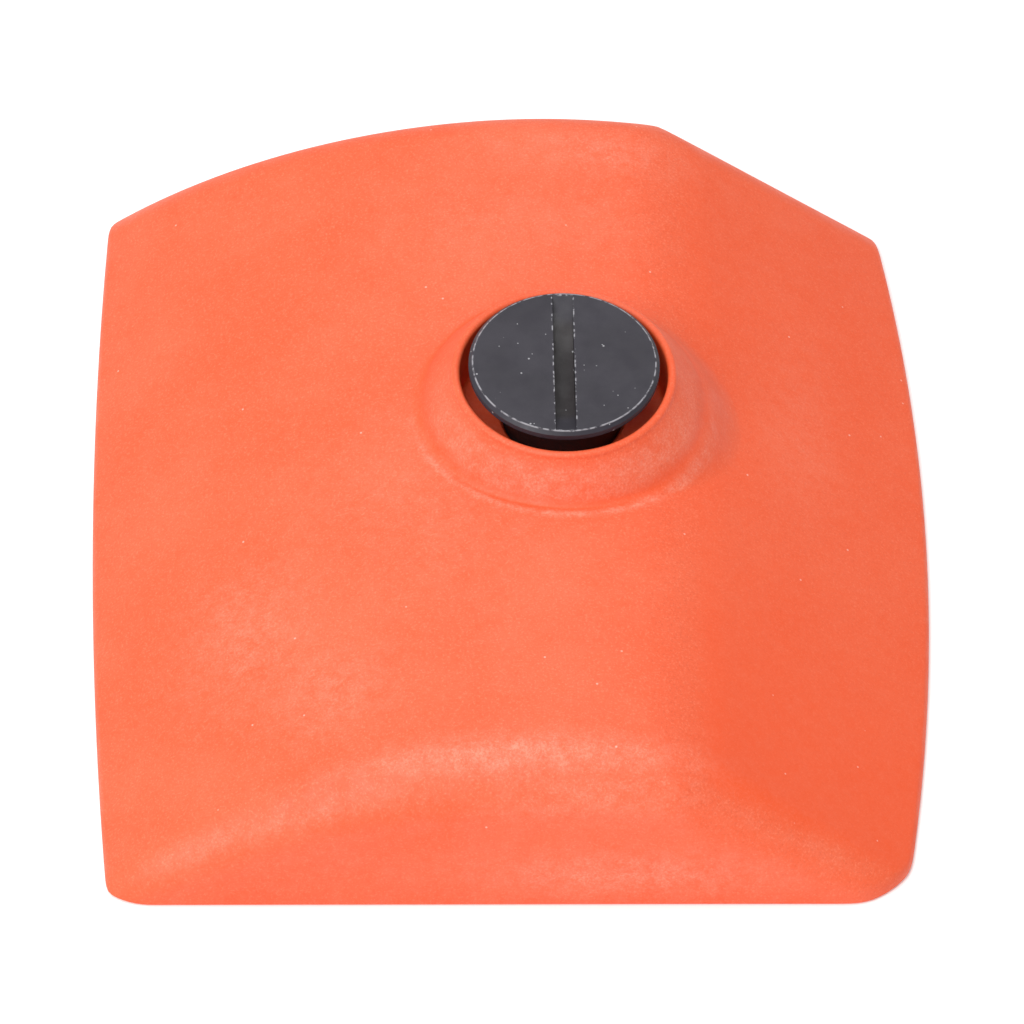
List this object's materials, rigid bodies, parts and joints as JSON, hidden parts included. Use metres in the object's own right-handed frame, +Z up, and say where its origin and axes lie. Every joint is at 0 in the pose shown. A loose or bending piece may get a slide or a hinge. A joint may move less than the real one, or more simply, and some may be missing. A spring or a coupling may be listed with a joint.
{
  "type": "air filter housing",
  "caption": "Arched moulded cover with a conical boss and captive slotted nut over a flat two-part filter element, on a base plate that bolts to a carburettor flange.",
  "frame": {"origin": "centre of the plan, on the flat underside of the rim and base plate", "axes": "+Z up through the nut, +Y to the back along the arched crest, +X to the straight facet's side"},
  "size_m": [0.09, 0.1, 0.0244],
  "materials": {
    "orange_nylon": "fine-grained moulded nylon, slightly dusty",
    "black_nylon": "smooth moulded nylon with worn edges",
    "brass": "turned",
    "zinc_steel": "zinc plated",
    "spring_steel": "drawn wire",
    "black_rubber": "matt rubber",
    "grey_nylon": "smooth moulded nylon",
    "filter_fabric": "fine woven mesh with flock",
    "dark_nylon": "glass-filled moulded nylon",
    "fibre_gasket": "pressed fibre"
  },
  "bodies": {
    "base": {"base_plate": "dark_nylon", "cover_stud": "zinc_steel", "stud_washer": "zinc_steel", "stud_nut": "zinc_steel", "intake_grommet": "black_rubber", "base_gasket": "fibre_gasket", "mounting_sleeves": "zinc_steel", "inlet_screen": "zinc_steel"},
    "filter": {"filter_upper_frame": "grey_nylon", "filter_upper_mesh": "filter_fabric", "filter_joint_seal": "black_rubber", "filter_lower_frame": "grey_nylon", "filter_lower_mesh": "filter_fabric", "filter_centre_sleeve": "grey_nylon", "filter_outlet_seal": "black_rubber"},
    "cover": {"cover_shell": "orange_nylon", "cover_seal": "black_rubber", "nut_spring": "spring_steel"},
    "washer": {"thrust_washer": "black_nylon"},
    "nut": {"slotted_nut": "black_nylon", "threaded_insert": "brass", "retaining_ring": "spring_steel"}
  },
  "joints": [
    {"name": "cover_lift", "type": "slide", "parent": "base", "child": "cover", "axis": [0, 0, 1], "range_m": [0, 0.08]},
    {"name": "filter_lift", "type": "slide", "parent": "base", "child": "filter", "axis": [0, 0, 1], "range_m": [0, 0.032]},
    {"name": "nut_rise", "type": "slide", "parent": "cover", "child": "washer", "axis": [0, 0, 1], "range_m": [0, 0.004], "deforming": ["nut_spring"]},
    {"name": "nut_turn", "type": "hinge", "parent": "washer", "child": "nut", "pos_m": [0.0054, 0.0047, 0.0163], "axis": [0, 0, 1], "range_deg": [0, 1440]}
  ],
  "couplings": [
    {"joint": "filter_lift", "follows": "cover_lift", "ratio": 0.4},
    {"joint": "nut_turn", "follows": "nut_rise", "rad_per_m": 6283.2}
  ]
}
